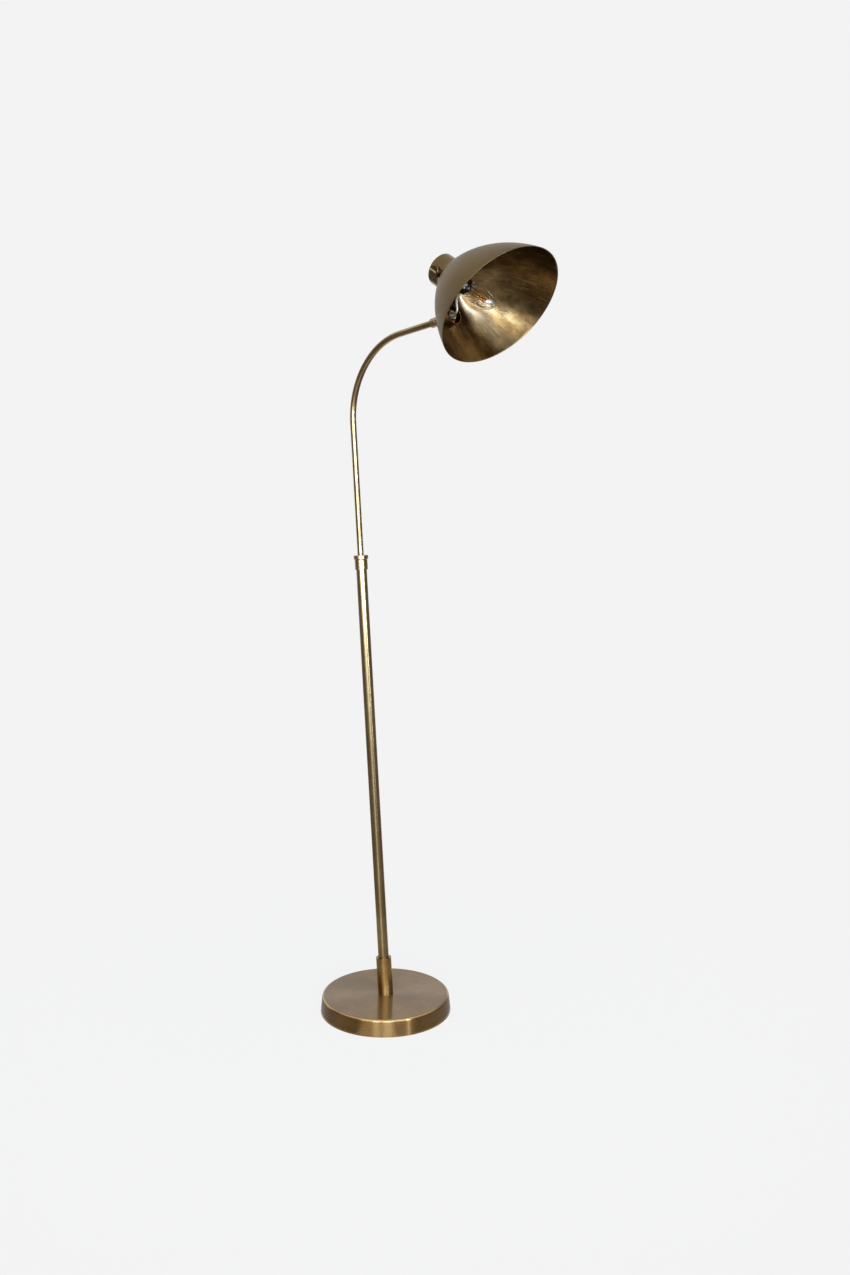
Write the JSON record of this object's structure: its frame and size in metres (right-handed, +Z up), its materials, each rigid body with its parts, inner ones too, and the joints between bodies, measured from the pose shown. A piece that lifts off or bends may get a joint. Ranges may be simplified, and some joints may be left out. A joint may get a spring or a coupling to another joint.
{
  "type": "floor lamp",
  "caption": "Floor lamp with a weighted round base, a leaning telescopic stem, a bent arm and a domed reflector shade on a tilting, swivelling knuckle, with a turn switch in its cap.",
  "frame": {"origin": "on the floor, at the centre of the base's underside", "axes": "+Z up; +X from the stem towards the shade; the arm and the shade's axis lie in the XZ plane; the switch knob is on the -Y side"},
  "size_m": [0.5018, 0.26, 1.4512],
  "materials": {
    "aged_brass": "aged, satin",
    "shade_brass": "aged, satin outside and brushed inside",
    "turned_brass": "turned",
    "plated_steel": "plated",
    "weight_iron": "as cast",
    "felt": "felt",
    "black_plastic": "moulded",
    "inlet_rubber": "moulded",
    "nylon": "turned",
    "lead_plate": "drawn tube",
    "bulb_metal": "rolled thread",
    "clear_glass": "clear",
    "filament_coat": "orange coat"
  },
  "bodies": {
    "base": {"base_cover": "aged_brass", "base_weight": "weight_iron", "base_plate": "plated_steel", "plate_screws": "plated_steel", "foot_pad": "felt", "cord_inlet": "inlet_rubber", "stem_stud": "plated_steel", "stem_washer": "plated_steel", "stem_nut": "plated_steel", "base_sleeve": "aged_brass", "grub_screw": "plated_steel", "lower_tube": "aged_brass", "tube_insert": "turned_brass", "collar": "aged_brass", "collet": "turned_brass"},
    "clamp_ring": {"clamp_ring": "aged_brass"},
    "guide": {"guide_sleeve": "nylon"},
    "arm": {"arm_tube": "aged_brass", "guide_nut": "turned_brass", "guide_clip": "plated_steel", "arm_ferrule": "aged_brass"},
    "knuckle": {"knuckle_fork": "aged_brass", "swivel_clip": "plated_steel", "pivot_screw": "plated_steel", "pivot_nut": "plated_steel"},
    "shade": {"knuckle_tongue": "aged_brass", "friction_washers": "nylon", "shade_saddle": "aged_brass", "shade_dome": "shade_brass", "fixing_cup": "turned_brass", "fixing_nut": "plated_steel", "neck_cap": "shade_brass", "cap_nipple": "plated_steel", "nipple_nut": "plated_steel", "cap_nut": "shade_brass", "lamp_holder": "black_plastic", "holder_shell": "turned_brass", "holder_contact": "turned_brass", "bulb_cap": "bulb_metal", "bulb_glass": "clear_glass", "bulb_stem": "clear_glass", "filaments": "filament_coat", "lead_tube": "lead_plate", "switch_body": "black_plastic", "switch_nut": "plated_steel"},
    "switch": {"switch_spindle": "turned_brass", "switch_knob": "turned_brass"}
  },
  "joints": [
    {"name": "clamp_ring_turn", "type": "hinge", "parent": "base", "child": "clamp_ring", "pos_m": [-0.06235, 0, 0.90377], "axis": [-0.0715, 0, 0.9974], "range_deg": [0, 90]},
    {"name": "arm_height", "type": "slide", "parent": "base", "child": "guide", "axis": [-0.0715, 0, 0.9974], "range_m": [-0.24, 0.12]},
    {"name": "arm_swing", "type": "hinge", "parent": "guide", "child": "arm", "pos_m": [-0.05005, 0, 0.73221], "axis": [-0.0715, 0, 0.9974], "range_deg": [-165, 165]},
    {"name": "shade_swivel", "type": "hinge", "parent": "arm", "child": "knuckle", "pos_m": [0.1535, 0, 1.33612], "axis": [0.9885, 0, 0.1513], "range_deg": [-90, 90]},
    {"name": "shade_tilt", "type": "hinge", "parent": "knuckle", "child": "shade", "pos_m": [0.1535, 0, 1.33612], "axis": [0, -1, 0], "range_deg": [-48, 60]},
    {"name": "switch_turn", "type": "hinge", "parent": "shade", "child": "switch", "pos_m": [0.16364, 0, 1.41619], "axis": [0, -1, 0], "range_deg": [0, 90]}
  ]
}
